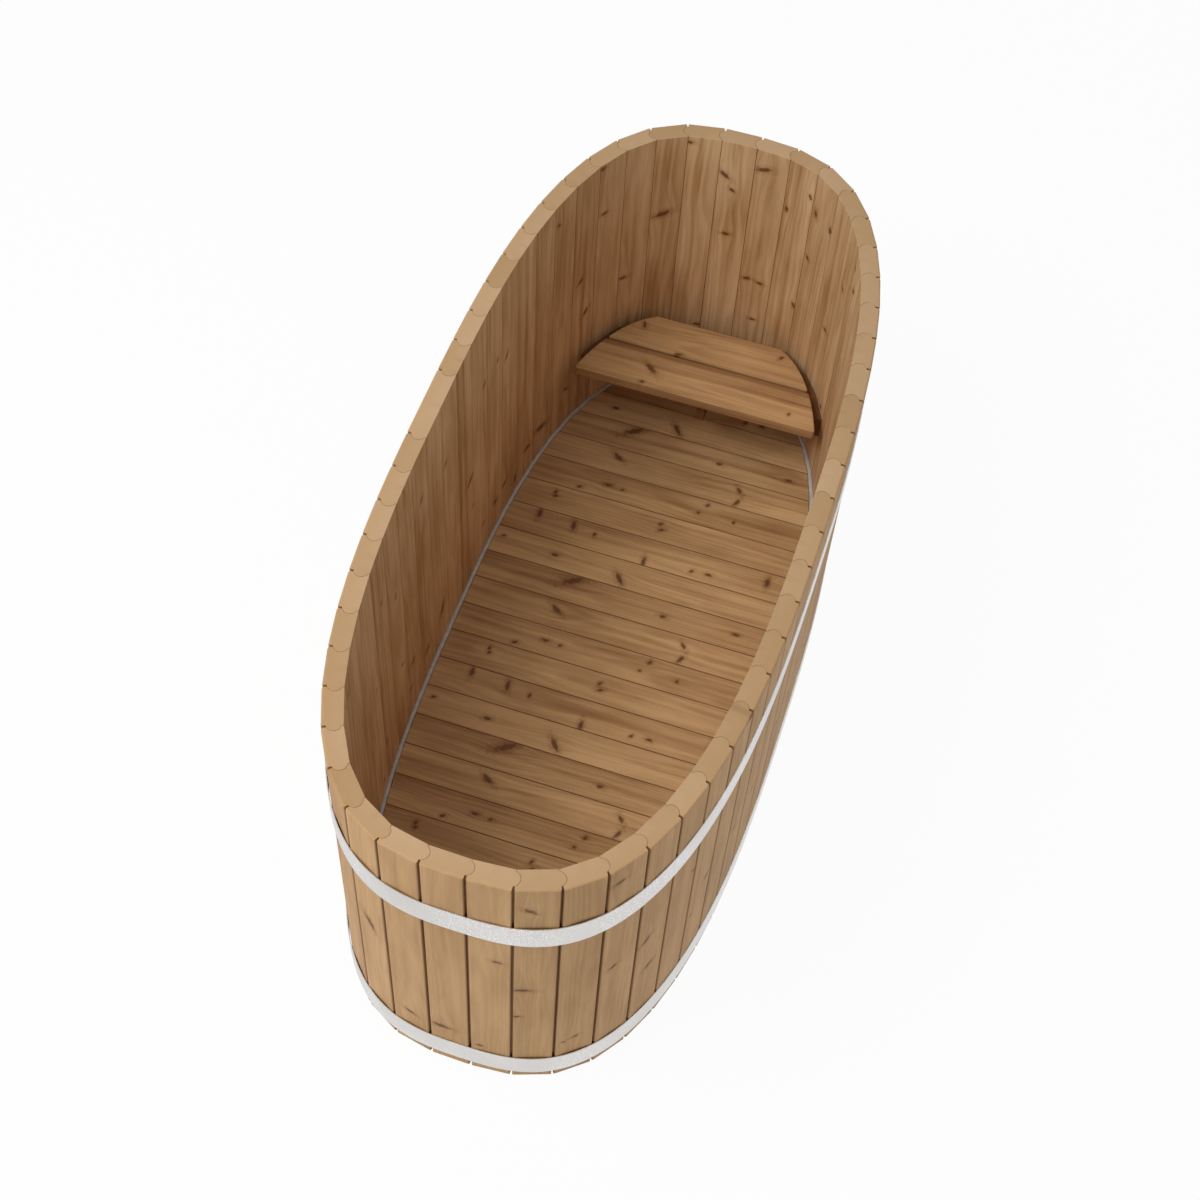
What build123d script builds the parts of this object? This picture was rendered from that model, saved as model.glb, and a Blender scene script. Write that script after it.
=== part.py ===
# Oval plunge tub: upright wooden staves held by two steel hoops, a boarded floor on bearers,
# a loose D-shaped seat at one end and a plugged drain at the other.
# Millimetres, +Z up, +Y towards the seat end. The origin is on the ground, under the tub's middle.
from build123d import *
from bisect import bisect_right
import math
import os

# Overall
tub_length = 1754.0
tub_width = 768.0
tub_height = 788.0
plan_roundness = 2.83  # exponent of the oval plan: 2 is an ellipse, and more is squarer

# Wall staves
wall_thickness = 38.0
stave_count = 54  # one of them, the closing stave, takes two places round the wall
staves_per_group = 3
stave_gap = 0.2
notch_width = 5.0
notch_depth = 5.0
edge_break = 1.0
bead_height = 8.5
bead_land = 3.0
rim_ease = 3.0

# Floor
floor_top = 73.0
floor_thickness = 36.0
floor_full_boards = 21
floor_far_board = 59.0
floor_near_board = 103.0
floor_gap = 0.4
floor_edge_break = 1.2
tongue_depth = 6.0
tongue_height = 8.0
tongue_clearance = 0.4
rebate_height = 20.0  # lower part of the floor, which enters the groove in the staves
groove_depth = 8.0
groove_clearance = 0.5
seal_width = 9.0
seal_drop = 0.8

# Bearers under the floor
bearer_width = 60.0
bearer_edge_space = 156.0
bearer_end_space = 140.0

# Hoops
hoop_width = 64.0
hoop_thickness = 2.0
lower_hoop_middle = 60.0
upper_hoop_middle = 622.0
hoop_joint_gap = 24.0
lug_length = 12.0
lug_reach = 24.0
lug_height = 36.0
lug_stave = 47  # counted from the closing stave, where the wall bends behind the seat
bolt_radius = 4.0
bolt_hole_radius = 4.4
bolt_stand_off = 14.0
bolt_head_height = 5.3
bolt_spare = 6.0
nut_height = 6.5
nut_radius = 7.5
nut_bore_radius = 4.1

# Seat
seat_top = 278.0
seat_thickness = 26.0
seat_depth = 201.5
seat_front_board = 101.5
seat_board_gap = 4.5
seat_wall_space = 23.0
seat_back_space = 49.0
seat_edge_break = 2.5
seat_clearance = 0.2
batten_width = 18.0
batten_height = 57.0
batten_x = 15.0
batten_set_back = 16.0
batten_end_space = 14.0

# Rests screwed to the wall under the seat's ends
rest_depth = 46.0
rest_length = 112.0
rest_set_back = 60.0
rest_screw_spacing = 28.0

# Wood screws
screw_radius = 2.5
screw_head_radius = 5.0
screw_head_height = 3.5
screw_recess = 4.0
screw_clearance = 0.1
screw_bite = 18.0
screw_edge_space = 26.0

# Drain in the floor at the foot end
drain_flange_radius = 30.0
drain_flange_height = 4.0
drain_tube_radius = 20.0
drain_bore_radius = 15.0
drain_ground_space = 8.0
drain_spigot_radius = 18.0
drain_spigot_length = 19.0
drain_relief_radius = 17.0
drain_relief_length = 1.5
drain_clearance = 0.4
drain_nut_radius = 29.0
drain_nut_height = 7.0
plug_radius = 14.6
plug_length = 15.0
plug_head_radius = 19.0
plug_head_height = 4.0
plug_knob_radius = 7.0
plug_knob_height = 12.0
plug_edge_radius = 1.5

# Worked out from the values above
half_length = tub_length / 2
half_width = tub_width / 2
inner_end = half_length - wall_thickness
inner_side = half_width - wall_thickness
floor_bottom = floor_top - floor_thickness
rebate_top = floor_bottom + rebate_height
bead_end = wall_thickness - bead_land
bead_middle = (notch_depth + bead_end) / 2
floor_board = (2 * inner_end - floor_far_board - floor_near_board) / floor_full_boards
seat_bottom = seat_top - seat_thickness
seat_back = inner_end - seat_back_space
seat_front = seat_back - seat_depth
seat_split = seat_front + seat_front_board
batten_bottom = seat_bottom - batten_height
rest_top = seat_bottom - seat_clearance
rest_front = seat_front + rest_set_back
drain_y = -inner_end + floor_near_board + floor_board / 2
drain_relief_bottom = drain_ground_space + drain_spigot_length
drain_tube_length = floor_top - drain_flange_height - drain_relief_bottom - drain_relief_length
up = Vector(0, 0, 1)

os.makedirs("parts", exist_ok=True)


# The oval of the wall's outer face, walked counter-clockwise from its far end
def oval_point(turn):
    angle = 2 * math.pi * turn
    x = -half_width * math.copysign(abs(math.sin(angle)) ** (2 / plan_roundness), math.sin(angle))
    y = half_length * math.copysign(abs(math.cos(angle)) ** (2 / plan_roundness), math.cos(angle))
    return Vector(x, y)


oval_steps = 8000
oval = [oval_point(i / oval_steps) for i in range(oval_steps + 1)]
walked = [0.0]
for i in range(oval_steps):
    walked.append(walked[-1] + (oval[i + 1] - oval[i]).length)


def wall_point(share):
    """Point of the outer face after a share of the whole way round."""
    target = (share % 1) * walked[-1]
    i = min(bisect_right(walked, target) - 1, oval_steps - 1)
    part = (target - walked[i]) / (walked[i + 1] - walked[i])
    return oval[i] + (oval[i + 1] - oval[i]) * part


def wall_normal(share):
    """Direction out of the wall after a share of the whole way round."""
    point = wall_point(share)
    x = math.copysign(abs(point.X / half_width) ** (plan_roundness - 1), point.X) / half_width
    y = math.copysign(abs(point.Y / half_length) ** (plan_roundness - 1), point.Y) / half_length
    return Vector(x, y).normalized()


def smooth_loop(outwards):
    """A smooth closed curve at a distance outside the wall's face, or inside it if negative."""
    count = 2 * (stave_count + 1)
    shares = [(i + 0.5) / count for i in range(count)]
    points = [wall_point(s) + wall_normal(s) * outwards for s in shares]
    return Spline(*points, periodic=True)


# Joints between staves: joint k lies between stave k and stave k + 1, and stave 0 is the closing one
joint_share = [0.25 + (1 + k) / (stave_count + 1) for k in range(stave_count)]
corner = [wall_point(s) for s in joint_share]
face_along = [(corner[k] - corner[k - 1]).normalized() for k in range(stave_count)]
face_out = [Vector(a.Y, -a.X) for a in face_along]
joint_out = [(face_out[k] + face_out[(k + 1) % stave_count]).normalized() for k in range(stave_count)]
joint_along = [Vector(-n.Y, n.X) for n in joint_out]


def joint_point(k, depth, along=0.0):
    """Point at a depth behind the outer face on joint k, moved along the wall."""
    return corner[k] - joint_out[k] * depth + joint_along[k] * along


def ring_corner(k, depth):
    """Corner at joint k of the many-sided ring that lies a depth behind the outer faces."""
    return corner[k] - joint_out[k] * (depth / joint_out[k].dot(face_out[k]))


def ring_face(depth):
    """The many-sided area inside the ring that lies a depth behind the outer faces."""
    with BuildSketch() as ring:
        with BuildLine():
            Polyline(*[ring_corner(k, depth) for k in range(stave_count)], close=True)
        make_face()
    return ring.sketch


def stave_face(k):
    """Outline of stave k, with a bead on its leading edge and the matching cove on the other."""
    back = k - 1
    start = corner[back] + face_along[k] * (edge_break + stave_gap)
    notch = corner[k] - face_along[k] * notch_width
    inner_back = ring_corner(back, wall_thickness) + face_along[k] * stave_gap
    with BuildSketch() as outline:
        with BuildLine():
            Line(start, notch)
            Line(notch, joint_point(k, notch_depth))
            ThreePointArc(
                joint_point(k, notch_depth),
                joint_point(k, bead_middle, bead_height),
                joint_point(k, bead_end),
            )
            Line(joint_point(k, bead_end), ring_corner(k, wall_thickness))
            Line(ring_corner(k, wall_thickness), inner_back)
            Line(inner_back, joint_point(back, bead_end, stave_gap))
            ThreePointArc(
                joint_point(back, bead_end, stave_gap),
                joint_point(back, bead_middle, bead_height + stave_gap),
                joint_point(back, notch_depth, stave_gap),
            )
            Line(joint_point(back, notch_depth, stave_gap), start)
        make_face()
    return outline.sketch


def rim_edge_middle(k):
    """Middle of stave k's outer edge at the rim."""
    middle = (corner[k] + corner[k - 1]) * 0.5
    return (middle.X, middle.Y, tub_height)


# Screws that hold the seat rests: on each side two, one above the other, square to one stave
def stave_beside(y, side):
    """The stave on one side, -1 or 1, whose inner face has its middle nearest a place along Y."""
    middles = {}
    for k in range(stave_count):
        middle = (ring_corner(k - 1, wall_thickness) + ring_corner(k, wall_thickness)) * 0.5
        if middle.X * side > 0:
            middles[k] = middle
    nearest = min(middles, key=lambda k: abs(middles[k].Y - y))
    return nearest, middles[nearest]


rest_middle_z = (rest_top + batten_bottom) / 2
rest_screw_planes = []
for side in (-1, 1):
    k, middle = stave_beside(rest_front + rest_length / 2, side)
    for lift in (-rest_screw_spacing / 2, rest_screw_spacing / 2):
        head = middle - face_out[k] * (rest_depth - screw_recess) + up * (rest_middle_z + lift)
        rest_screw_planes.append((k, Plane(origin=head, z_dir=face_out[k])))


def add_screw(plane, length):
    """A screw along the plane's own Z, with the underside of its head at the plane."""
    with Locations(plane):
        Cylinder(screw_radius, length, align=(Align.CENTER, Align.CENTER, Align.MIN))
        Cylinder(screw_head_radius, screw_head_height, align=(Align.CENTER, Align.CENTER, Align.MAX))


rest_screw_length = rest_depth - screw_recess + screw_bite

# Groove for the floor, cut into the inner faces of all staves
with BuildPart() as floor_groove:
    with BuildSketch(Plane.XY.offset(floor_bottom - groove_clearance)):
        add(ring_face(wall_thickness - groove_depth))
    extrude(amount=rebate_height + 2 * groove_clearance)


def write_staves(name, members):
    """One node of separate staves, grooved for the floor and eased along the rim."""
    with BuildPart() as staves:
        with BuildSketch():
            for k in members:
                add(stave_face(k))
        extrude(amount=tub_height)
        add(floor_groove.part, mode=Mode.SUBTRACT)
        for k in members:
            chamfer(staves.edges().sort_by_distance(rim_edge_middle(k))[0], length=rim_ease)
        for k, plane in rest_screw_planes:
            if k in members:
                with BuildSketch(plane):
                    Circle(screw_radius + screw_clearance)
                extrude(amount=rest_screw_length + screw_clearance, mode=Mode.SUBTRACT)
    staves.part.label = name
    export_step(staves.part, f"parts/{name}.step")


write_staves("closing_stave", [0])
for first in range(1, stave_count, staves_per_group):
    group = range(first, min(first + staves_per_group, stave_count))
    write_staves(f"wall_staves_{(first - 1) // staves_per_group + 1:02d}", group)

# The floor's whole slab: a lower part that enters the groove, and an upper part inside the seal
with BuildPart() as floor_slab:
    with BuildSketch(Plane.XY.offset(floor_bottom)):
        add(ring_face(wall_thickness - groove_depth + groove_clearance))
    extrude(amount=rebate_height)
    with BuildSketch(Plane.XY.offset(rebate_top)):
        add(ring_face(wall_thickness + seal_width))
    extrude(amount=floor_top - rebate_top)

floor_edges = [half_length, inner_end - floor_far_board]
for i in range(floor_full_boards):
    floor_edges.append(floor_edges[-1] - floor_board)
floor_edges.append(-half_length)


def board_section(low, high):
    """Section of a floor board across its run, with its groove at low and its tongue at high."""
    near = low + floor_gap / 2
    far = high - floor_gap / 2
    middle = floor_bottom + floor_thickness / 2
    slot = tongue_height / 2 + tongue_clearance / 2
    with BuildSketch() as section:
        with BuildLine():
            Polyline(
                (near, floor_bottom),
                (far, floor_bottom),
                (far, middle - tongue_height / 2),
                (far + tongue_depth, middle - tongue_height / 2),
                (far + tongue_depth, middle + tongue_height / 2),
                (far, middle + tongue_height / 2),
                (far, floor_top - floor_edge_break),
                (far - floor_edge_break, floor_top),
                (near + floor_edge_break, floor_top),
                (near, floor_top - floor_edge_break),
                (near, middle + slot),
                (near + tongue_depth + tongue_clearance, middle + slot),
                (near + tongue_depth + tongue_clearance, middle - slot),
                (near, middle - slot),
                close=True,
            )
        make_face()
    return section.sketch


for i in range(len(floor_edges) - 1):
    name = f"floor_board_{i + 1:02d}"
    with BuildPart() as board:
        with BuildSketch(Plane.YZ):
            add(board_section(floor_edges[i + 1], floor_edges[i]))
        extrude(amount=half_width, both=True)
        add(floor_slab.part, mode=Mode.INTERSECT)
        if floor_edges[i + 1] < drain_y < floor_edges[i]:
            with Locations((0, drain_y, floor_top)):
                CounterBoreHole(
                    radius=drain_tube_radius + drain_clearance,
                    counter_bore_radius=drain_flange_radius + drain_clearance,
                    counter_bore_depth=drain_flange_height,
                )
    board.part.label = name
    export_step(board.part, f"parts/{name}.step")

# Grey sealing bead that fills the gap between the floor and the wall
with BuildPart() as floor_seal:
    with BuildSketch(Plane.XY.offset(rebate_top)):
        add(ring_face(wall_thickness))
        add(ring_face(wall_thickness + seal_width), mode=Mode.SUBTRACT)
    extrude(amount=floor_top - rebate_top - seal_drop)
floor_seal.part.label = "floor_seal"
export_step(floor_seal.part, "parts/floor_seal.step")

# Bearers that carry the floor and stand on the ground
with BuildPart() as floor_bearers:
    with BuildSketch():
        with Locations((inner_side - bearer_edge_space, 0), (bearer_edge_space - inner_side, 0)):
            Rectangle(bearer_width, 2 * (inner_end - bearer_end_space))
    extrude(amount=floor_bottom)
floor_bearers.part.label = "floor_bearers"
export_step(floor_bearers.part, "parts/floor_bearers.step")

# Hoops: open steel bands, with a lug on each end that a bolt draws together
lug_share = joint_share[lug_stave] - 0.5 / (stave_count + 1)
lug_out = wall_normal(lug_share)
lug_along = Vector(-lug_out.Y, lug_out.X)
lug_foot = wall_point(lug_share)
hoop_middles = (lower_hoop_middle, upper_hoop_middle)


def lug_plane(z, along, out=0.0):
    """Plane square to the bolt, at a place along the hoop from the middle of its joint."""
    place = lug_foot + lug_along * along + lug_out * out + up * z
    return Plane(origin=place, x_dir=lug_out, z_dir=lug_along)


def write_hoop(name, middle):
    with BuildPart() as hoop:
        with BuildSketch(Plane.XY.offset(middle - hoop_width / 2)):
            with BuildLine():
                smooth_loop(hoop_thickness)
            make_face()
            with BuildSketch(mode=Mode.SUBTRACT):
                with BuildLine():
                    smooth_loop(0)
                make_face()
        extrude(amount=hoop_width)
        with BuildSketch(lug_plane(middle, -hoop_joint_gap / 2)):
            Rectangle(4 * lug_reach, 2 * hoop_width)
        extrude(amount=hoop_joint_gap, mode=Mode.SUBTRACT)
    hoop.part.label = name
    export_step(hoop.part, f"parts/{name}.step")


write_hoop("lower_hoop", lower_hoop_middle)
write_hoop("upper_hoop", upper_hoop_middle)

with BuildPart() as hoop_envelope:
    with BuildSketch():
        with BuildLine():
            smooth_loop(hoop_thickness)
        make_face()
    extrude(amount=tub_height)

with BuildPart() as hoop_lugs:
    for middle in hoop_middles:
        for along in (-hoop_joint_gap / 2 - lug_length, hoop_joint_gap / 2):
            with BuildSketch(lug_plane(middle, along)):
                Rectangle(2 * (hoop_thickness + lug_reach), lug_height)
            extrude(amount=lug_length)
        with BuildSketch(lug_plane(middle, -lug_reach * 2, hoop_thickness + bolt_stand_off)):
            Circle(bolt_hole_radius)
        extrude(amount=lug_reach * 4, mode=Mode.SUBTRACT)
    add(hoop_envelope.part, mode=Mode.SUBTRACT)
hoop_lugs.part.label = "hoop_lugs"
export_step(hoop_lugs.part, "parts/hoop_lugs.step")

lug_outer = hoop_joint_gap / 2 + lug_length
with BuildPart() as hoop_bolts:
    for middle in hoop_middles:
        with BuildSketch(lug_plane(middle, -lug_outer, hoop_thickness + bolt_stand_off)):
            RegularPolygon(nut_radius, 6)
        extrude(amount=-bolt_head_height)
        with BuildSketch(lug_plane(middle, -lug_outer, hoop_thickness + bolt_stand_off)):
            Circle(bolt_radius)
        extrude(amount=2 * lug_outer + nut_height + bolt_spare)
hoop_bolts.part.label = "hoop_bolts"
export_step(hoop_bolts.part, "parts/hoop_bolts.step")

with BuildPart() as hoop_nuts:
    for middle in hoop_middles:
        with BuildSketch(lug_plane(middle, lug_outer, hoop_thickness + bolt_stand_off)):
            RegularPolygon(nut_radius, 6)
            Circle(nut_bore_radius, mode=Mode.SUBTRACT)
        extrude(amount=nut_height)
hoop_nuts.part.label = "hoop_nuts"
export_step(hoop_nuts.part, "parts/hoop_nuts.step")


# Seat: two boards cut to the wall's curve, on one batten
def band_across(low, high):
    """A rectangle right across the tub between two places along its length."""
    with Locations((0, (low + high) / 2)):
        Rectangle(tub_width, high - low, mode=Mode.INTERSECT)


batten_middle_y = (seat_front + batten_set_back + seat_back - batten_end_space) / 2
batten_run = seat_depth - batten_set_back - batten_end_space
screw_length = batten_height - screw_recess + screw_bite
seat_screw_ys = [
    seat_front + screw_edge_space,
    seat_split - screw_edge_space,
    seat_split + seat_board_gap + screw_edge_space,
    seat_back - screw_edge_space,
]
seat_screw_planes = [
    Plane(origin=(batten_x, y, batten_bottom + screw_recess), z_dir=(0, 0, 1)) for y in seat_screw_ys
]


def write_seat_board(name, low, high):
    with BuildPart() as board:
        with BuildSketch(Plane.XY.offset(seat_bottom)):
            with BuildLine():
                smooth_loop(-wall_thickness - seat_wall_space)
            make_face()
            band_across(low, high)
        extrude(amount=seat_thickness)
        chamfer(board.edges().group_by(Axis.Z)[-1], length=seat_edge_break)
        for plane in seat_screw_planes:
            with BuildSketch(plane):
                Circle(screw_radius + screw_clearance)
            extrude(amount=screw_length + screw_clearance, mode=Mode.SUBTRACT)
    board.part.label = name
    export_step(board.part, f"parts/{name}.step")


write_seat_board("seat_front_board", seat_front, seat_split)
write_seat_board("seat_back_board", seat_split + seat_board_gap, seat_back)

with BuildPart() as seat_batten:
    with BuildSketch(Plane.XY.offset(batten_bottom)):
        with Locations((batten_x, batten_middle_y)):
            Rectangle(batten_width, batten_run)
    extrude(amount=batten_height)
    with Locations(*[(batten_x, y, batten_bottom) for y in seat_screw_ys]):
        Hole(radius=screw_radius + screw_clearance)
    for plane in seat_screw_planes:
        with BuildSketch(plane):
            Circle(screw_head_radius + screw_clearance)
        extrude(amount=-screw_recess, mode=Mode.SUBTRACT)
seat_batten.part.label = "seat_batten"
export_step(seat_batten.part, "parts/seat_batten.step")

with BuildPart() as seat_screws:
    for plane in seat_screw_planes:
        add_screw(plane, screw_length)
seat_screws.part.label = "seat_screws"
export_step(seat_screws.part, "parts/seat_screws.step")

# Rests under the seat's ends, cut to the staves behind them
with BuildPart() as seat_rests:
    with BuildSketch(Plane.XY.offset(batten_bottom)):
        add(ring_face(wall_thickness))
        add(ring_face(wall_thickness + rest_depth), mode=Mode.SUBTRACT)
        band_across(rest_front, rest_front + rest_length)
    extrude(amount=rest_top - batten_bottom)
    for k, plane in rest_screw_planes:
        with BuildSketch(plane):
            Circle(screw_radius + screw_clearance)
        extrude(amount=rest_screw_length, mode=Mode.SUBTRACT)
        with BuildSketch(plane):
            Circle(screw_head_radius + screw_clearance)
        extrude(amount=-rest_depth, mode=Mode.SUBTRACT)
seat_rests.part.label = "seat_rests"
export_step(seat_rests.part, "parts/seat_rests.step")

with BuildPart() as rest_screws:
    for k, plane in rest_screw_planes:
        add_screw(plane, rest_screw_length)
rest_screws.part.label = "rest_screws"
export_step(rest_screws.part, "parts/rest_screws.step")

# Drain: a flanged tube through the floor, its nut underneath, and the plug that lifts out
with BuildPart() as drain_flange:
    with BuildSketch(Plane.XY.offset(floor_top - drain_flange_height)):
        with Locations((0, drain_y)):
            Circle(drain_flange_radius)
    extrude(amount=drain_flange_height)
    with BuildSketch(Plane.XY.offset(floor_top - drain_flange_height)):
        with Locations((0, drain_y)):
            Circle(drain_tube_radius)
    extrude(amount=-drain_tube_length)
    with BuildSketch(Plane.XY.offset(drain_relief_bottom)):
        with Locations((0, drain_y)):
            Circle(drain_relief_radius)
    extrude(amount=drain_relief_length)
    with BuildSketch(Plane.XY.offset(drain_ground_space)):
        with Locations((0, drain_y)):
            Circle(drain_spigot_radius)
    extrude(amount=drain_spigot_length)
    with Locations((0, drain_y, floor_top)):
        Hole(radius=drain_bore_radius)
drain_flange.part.label = "drain_flange"
export_step(drain_flange.part, "parts/drain_flange.step")

with BuildPart() as drain_nut:
    with BuildSketch(Plane.XY.offset(floor_bottom - drain_nut_height)):
        with Locations((0, drain_y)):
            RegularPolygon(drain_nut_radius, 6)
            Circle(drain_tube_radius + screw_clearance, mode=Mode.SUBTRACT)
    extrude(amount=drain_nut_height)
drain_nut.part.label = "drain_nut"
export_step(drain_nut.part, "parts/drain_nut.step")

with BuildPart() as drain_plug:
    with BuildSketch(Plane.XY.offset(floor_top + seat_clearance)):
        with Locations((0, drain_y)):
            Circle(plug_head_radius)
    extrude(amount=plug_head_height)
    with BuildSketch(Plane.XY.offset(floor_top + seat_clearance)):
        with Locations((0, drain_y)):
            Circle(plug_knob_radius)
    extrude(amount=plug_head_height + plug_knob_height)
    fillet(drain_plug.edges().group_by(Axis.Z)[-1], radius=plug_edge_radius)
    with BuildSketch(Plane.XY.offset(floor_top + seat_clearance)):
        with Locations((0, drain_y)):
            Circle(plug_radius)
    extrude(amount=-plug_length)
drain_plug.part.label = "drain_plug"
export_step(drain_plug.part, "parts/drain_plug.step")
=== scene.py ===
import bisect
import math
import random

import bmesh
import bpy
from mathutils import Matrix, Vector


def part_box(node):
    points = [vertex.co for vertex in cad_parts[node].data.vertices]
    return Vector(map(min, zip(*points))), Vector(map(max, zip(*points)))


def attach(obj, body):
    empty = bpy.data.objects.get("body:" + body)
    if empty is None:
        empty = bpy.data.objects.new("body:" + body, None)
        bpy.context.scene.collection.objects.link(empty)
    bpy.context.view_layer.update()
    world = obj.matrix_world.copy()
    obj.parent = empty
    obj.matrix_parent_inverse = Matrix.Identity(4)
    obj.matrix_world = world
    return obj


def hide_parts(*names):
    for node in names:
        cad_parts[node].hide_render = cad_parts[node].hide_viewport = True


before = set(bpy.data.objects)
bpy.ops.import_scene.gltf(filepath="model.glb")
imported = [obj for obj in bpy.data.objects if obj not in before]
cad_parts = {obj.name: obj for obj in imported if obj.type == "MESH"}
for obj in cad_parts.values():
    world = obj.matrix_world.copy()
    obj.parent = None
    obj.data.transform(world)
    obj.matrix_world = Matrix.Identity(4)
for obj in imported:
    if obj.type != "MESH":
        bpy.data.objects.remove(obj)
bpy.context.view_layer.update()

# Everything is in metres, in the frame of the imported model: +Z up, +Y towards the seat.

# Wall. Its plan is an oval whose roundness is 2 for an ellipse, and more for squarer ends.
tub_length = 1.754
tub_width = 0.768
tub_height = 0.788
plan_roundness = 2.83
wall_thickness = 0.038
stave_count = 54
staves_per_group = 3
stave_gap = 0.0003

# Joint between two staves: an open groove outside, then a bead that sits in a cove
groove_width = 0.0039
groove_foot_width = 0.0033
groove_wall = 0.0085
groove_depth = 0.0093
bead_height = 0.0085
bead_land = 0.003
edge_break = 0.001

# Rounding of a stave's long edges at the groove and elsewhere, of its ends, and of the wall's outer rims
groove_round = 0.0026
edge_round = 0.0011
end_ease = 0.0007
rim_ease = 0.0042

# Floor boards, which stand a little wider below the step that carries the sealing bead
floor_far_board = 0.059
floor_near_board = 0.103
floor_full_boards = 21
floor_gap = 0.0004
floor_clearance = 0.0005
floor_foot = 0.0001
floor_ease = 0.0015
seal_width = 0.009
seal_drop = 0.0008

# Hoops, and the lugs, bolts and nuts that close them
hoop_thickness = 0.002
hoop_ease = 0.0005
hoop_joint_gap = 0.024
lug_stave = 47
lug_length = 0.012
lug_reach = 0.024
lug_height = 0.036
lug_inset = 0.001
lug_round = 0.009
lug_ease = 0.0012
bolt_stand_off = 0.014
bolt_radius = 0.004
nut_radius = 0.0075
nut_height = 0.0065
bolt_head_height = 0.0053
bolt_spare = 0.006

# Seat
seat_wall_space = 0.023
seat_corner_round = 0.005
seat_ease = 0.0032

half_length = tub_length / 2
half_width = tub_width / 2
inner_end = half_length - wall_thickness
floor_bottom, floor_top = [corner.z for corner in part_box("floor_board_12")]
floor_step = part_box("floor_seal")[0].z
floor_board = (2 * inner_end - floor_far_board - floor_near_board) / floor_full_boards


# Plan of the wall, walked counter-clockwise from its far end
def oval_point(turn):
    angle = 2 * math.pi * turn
    sine = math.sin(angle)
    cosine = math.cos(angle)
    x = -half_width * math.copysign(abs(sine) ** (2 / plan_roundness), sine)
    y = half_length * math.copysign(abs(cosine) ** (2 / plan_roundness), cosine)
    return Vector((x, y))


oval_steps = 8000
oval = [oval_point(i / oval_steps) for i in range(oval_steps + 1)]
walked = [0.0]
for i in range(oval_steps):
    walked.append(walked[-1] + (oval[i + 1] - oval[i]).length)


def wall_point(share):
    """Point of the wall's outer face after a share of the whole way round."""
    target = (share % 1) * walked[-1]
    i = min(bisect.bisect_right(walked, target) - 1, oval_steps - 1)
    return oval[i].lerp(oval[i + 1], (target - walked[i]) / (walked[i + 1] - walked[i]))


def wall_normal(share):
    """Direction out of the wall after a share of the whole way round."""
    point = wall_point(share)
    x = math.copysign(abs(point.x / half_width) ** (plan_roundness - 1), point.x) / half_width
    y = math.copysign(abs(point.y / half_length) ** (plan_roundness - 1), point.y) / half_length
    return Vector((x, y)).normalized()


joint_share = [0.25 + (1 + k) / (stave_count + 1) for k in range(stave_count)]
corner = [wall_point(share) for share in joint_share]
face_along = [(corner[k] - corner[k - 1]).normalized() for k in range(stave_count)]
face_out = [Vector((a.y, -a.x)) for a in face_along]
joint_out = [(face_out[k] + face_out[(k + 1) % stave_count]).normalized() for k in range(stave_count)]
joint_along = [Vector((-n.y, n.x)) for n in joint_out]


def joint_point(k, depth, along=0.0):
    """Point at a depth behind the outer face on joint k, moved along the wall."""
    return corner[k] - joint_out[k] * depth + joint_along[k] * along


def ring_corner(k, depth):
    """Corner at joint k of the many-sided ring that lies a depth behind the outer faces."""
    return corner[k] - joint_out[k] * (depth / joint_out[k].dot(face_out[k]))


def ring(depth):
    return [ring_corner(k, depth) for k in range(stave_count)]


def smooth_ring(outwards, count=220):
    """A smooth closed curve at a distance outside the wall's face, or inside it if negative."""
    return [wall_point(i / count) + wall_normal(i / count) * outwards for i in range(count)]


# Outlines in plan, as lists of points that run counter-clockwise
def arc(start, middle, end, steps):
    """Points of the circular arc through three points, both ends included."""
    a = middle - start
    b = end - start
    cross = 2 * (a.x * b.y - a.y * b.x)
    centre = start + Vector((b.y * a.dot(a) - a.y * b.dot(b), a.x * b.dot(b) - b.x * a.dot(a))) / cross
    first = math.atan2(start.y - centre.y, start.x - centre.x)
    sweep = math.atan2(end.y - centre.y, end.x - centre.x) - first
    wanted = math.copysign(1.0, cross)
    if sweep * wanted < 0:
        sweep += wanted * 2 * math.pi
    radius = (start - centre).length
    angles = [first + sweep * i / steps for i in range(steps + 1)]
    return [centre + Vector((math.cos(t), math.sin(t))) * radius for t in angles]


def rounded(before, point, after, radius, steps=3):
    """Points that round off a corner between its two neighbours."""
    a = (before - point).normalized()
    b = (after - point).normalized()
    half = math.acos(max(-1.0, min(1.0, a.dot(b)))) / 2
    reach = min(radius / math.tan(half), (before - point).length * 0.45, (after - point).length * 0.45)
    middle = point + (a + b).normalized() * (reach / math.cos(half) - reach * math.tan(half))
    return arc(point + a * reach, middle, point + b * reach, steps)


def rectangle(centre, width, depth, radius):
    """A rectangle with rounded corners."""
    x = width / 2
    y = depth / 2
    corners = [centre + Vector(c) for c in ((x, -y), (x, y), (-x, y), (-x, -y))]
    outline = []
    for i in range(4):
        outline += rounded(corners[i - 1], corners[i], corners[(i + 1) % 4], radius)
    return outline


def circle(centre, radius, count):
    angles = [2 * math.pi * i / count for i in range(count)]
    return [centre + Vector((math.cos(t), math.sin(t))) * radius for t in angles]


def sides_at(points, y):
    """Where a closed line crosses a place along Y: its rightmost and leftmost x."""
    found = []
    for i in range(len(points)):
        a = points[i - 1]
        b = points[i]
        if (a.y > y) != (b.y > y):
            found.append(a.x + (b.x - a.x) * (y - a.y) / (b.y - a.y))
    return max(found), min(found)


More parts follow.
